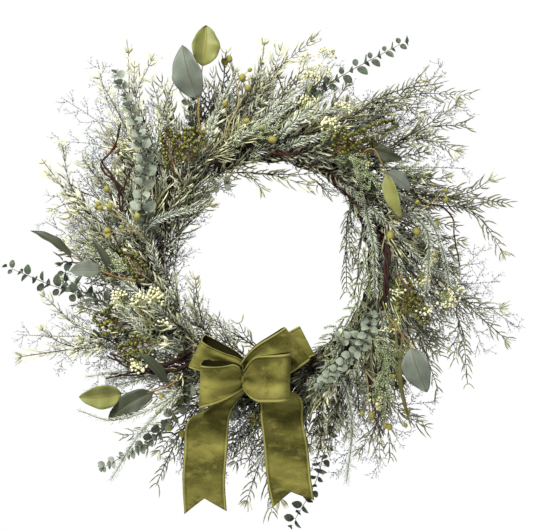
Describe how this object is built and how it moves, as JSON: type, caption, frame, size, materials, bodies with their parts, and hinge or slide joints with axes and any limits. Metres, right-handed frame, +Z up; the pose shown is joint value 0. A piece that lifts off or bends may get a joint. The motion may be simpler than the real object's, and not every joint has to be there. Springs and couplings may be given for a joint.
{
  "type": "leaf wreath",
  "caption": "Round wreath of mixed foliage, berries, buds and small cream flowers on a twisted vine ring, with a velvet ribbon bow, made to hang on a door or wall.",
  "frame": {"origin": "where a hook bears, at the top of the vine ring's inner side, in the middle of the ring's thickness", "axes": "+X to the right as seen from the front, +Y towards the wall, +Z up as it hangs"},
  "size_m": [0.6652, 0.0984, 0.6437],
  "materials": {
    "vine": "dark red-brown bark, dull",
    "ribbon": "olive velvet with a woven edge",
    "wire": "green enamelled wire",
    "broad_leaf": "dull leaf with a paler midrib",
    "eucalyptus_leaf": "dusty grey-green leaf",
    "green_berry": "satin green berry, brown stalk",
    "cream_flower": "matt cream petals, pale stems",
    "yellow_bud": "matt yellow-green bud, beige stem",
    "fir_needle": "frosted grey-green needles",
    "thuja_scale": "frosted light green sprigs",
    "rosemary_needle": "dull yellow-green needles",
    "mist_leaflet": "misty grey leaflets"
  },
  "bodies": {
    "root": {"vine_ring": "vine", "bow_ribbon": "ribbon", "bow_tie_wire": "wire", "leaf_twig_top": "broad_leaf", "leaf_twig_left": "broad_leaf", "leaf_twig_right": "broad_leaf", "leaf_twig_lower_right": "broad_leaf", "leaf_twig_lower_left": "broad_leaf", "eucalyptus_left": "eucalyptus_leaf", "eucalyptus_far_left": "eucalyptus_leaf", "eucalyptus_top_right": "eucalyptus_leaf", "eucalyptus_lower_right": "eucalyptus_leaf", "eucalyptus_bottom_left": "eucalyptus_leaf", "eucalyptus_inner": "eucalyptus_leaf", "eucalyptus_bottom": "eucalyptus_leaf", "berries_top_left": "green_berry", "berries_top_right": "green_berry", "berries_right": "green_berry", "berries_left": "green_berry", "berries_lower_left": "green_berry", "flowers_top": "cream_flower", "flowers_top_right": "cream_flower", "flowers_left": "cream_flower", "flowers_right": "cream_flower", "buds_left": "yellow_bud", "buds_top": "yellow_bud", "buds_right": "yellow_bud", "buds_bottom_right": "yellow_bud", "buds_bottom_left": "yellow_bud", "fir_top_right": "fir_needle", "fir_inner_left": "fir_needle", "fir_right": "fir_needle", "fir_inner_right": "fir_needle", "fir_bottom_right": "fir_needle", "fir_lower_left": "fir_needle", "thuja_right": "thuja_scale", "thuja_top_right": "thuja_scale", "thuja_left": "thuja_scale", "rosemary_top_left": "rosemary_needle", "rosemary_above_left": "rosemary_needle", "rosemary_left": "rosemary_needle", "rosemary_lower_left": "rosemary_needle", "rosemary_top": "rosemary_needle", "rosemary_top_right": "rosemary_needle", "rosemary_right_high": "rosemary_needle", "rosemary_right": "rosemary_needle", "rosemary_right_low": "rosemary_needle", "rosemary_bottom_left": "rosemary_needle", "rosemary_bottom": "rosemary_needle", "rosemary_bottom_right": "rosemary_needle", "rosemary_inner_right": "rosemary_needle", "rosemary_inner_top": "rosemary_needle", "rosemary_inner_bottom": "rosemary_needle", "mist_top_left": "mist_leaflet", "mist_left": "mist_leaflet", "mist_lower_left": "mist_leaflet", "mist_bottom": "mist_leaflet", "mist_bottom_right": "mist_leaflet", "mist_right": "mist_leaflet", "mist_top_right": "mist_leaflet"}
  },
  "joints": []
}
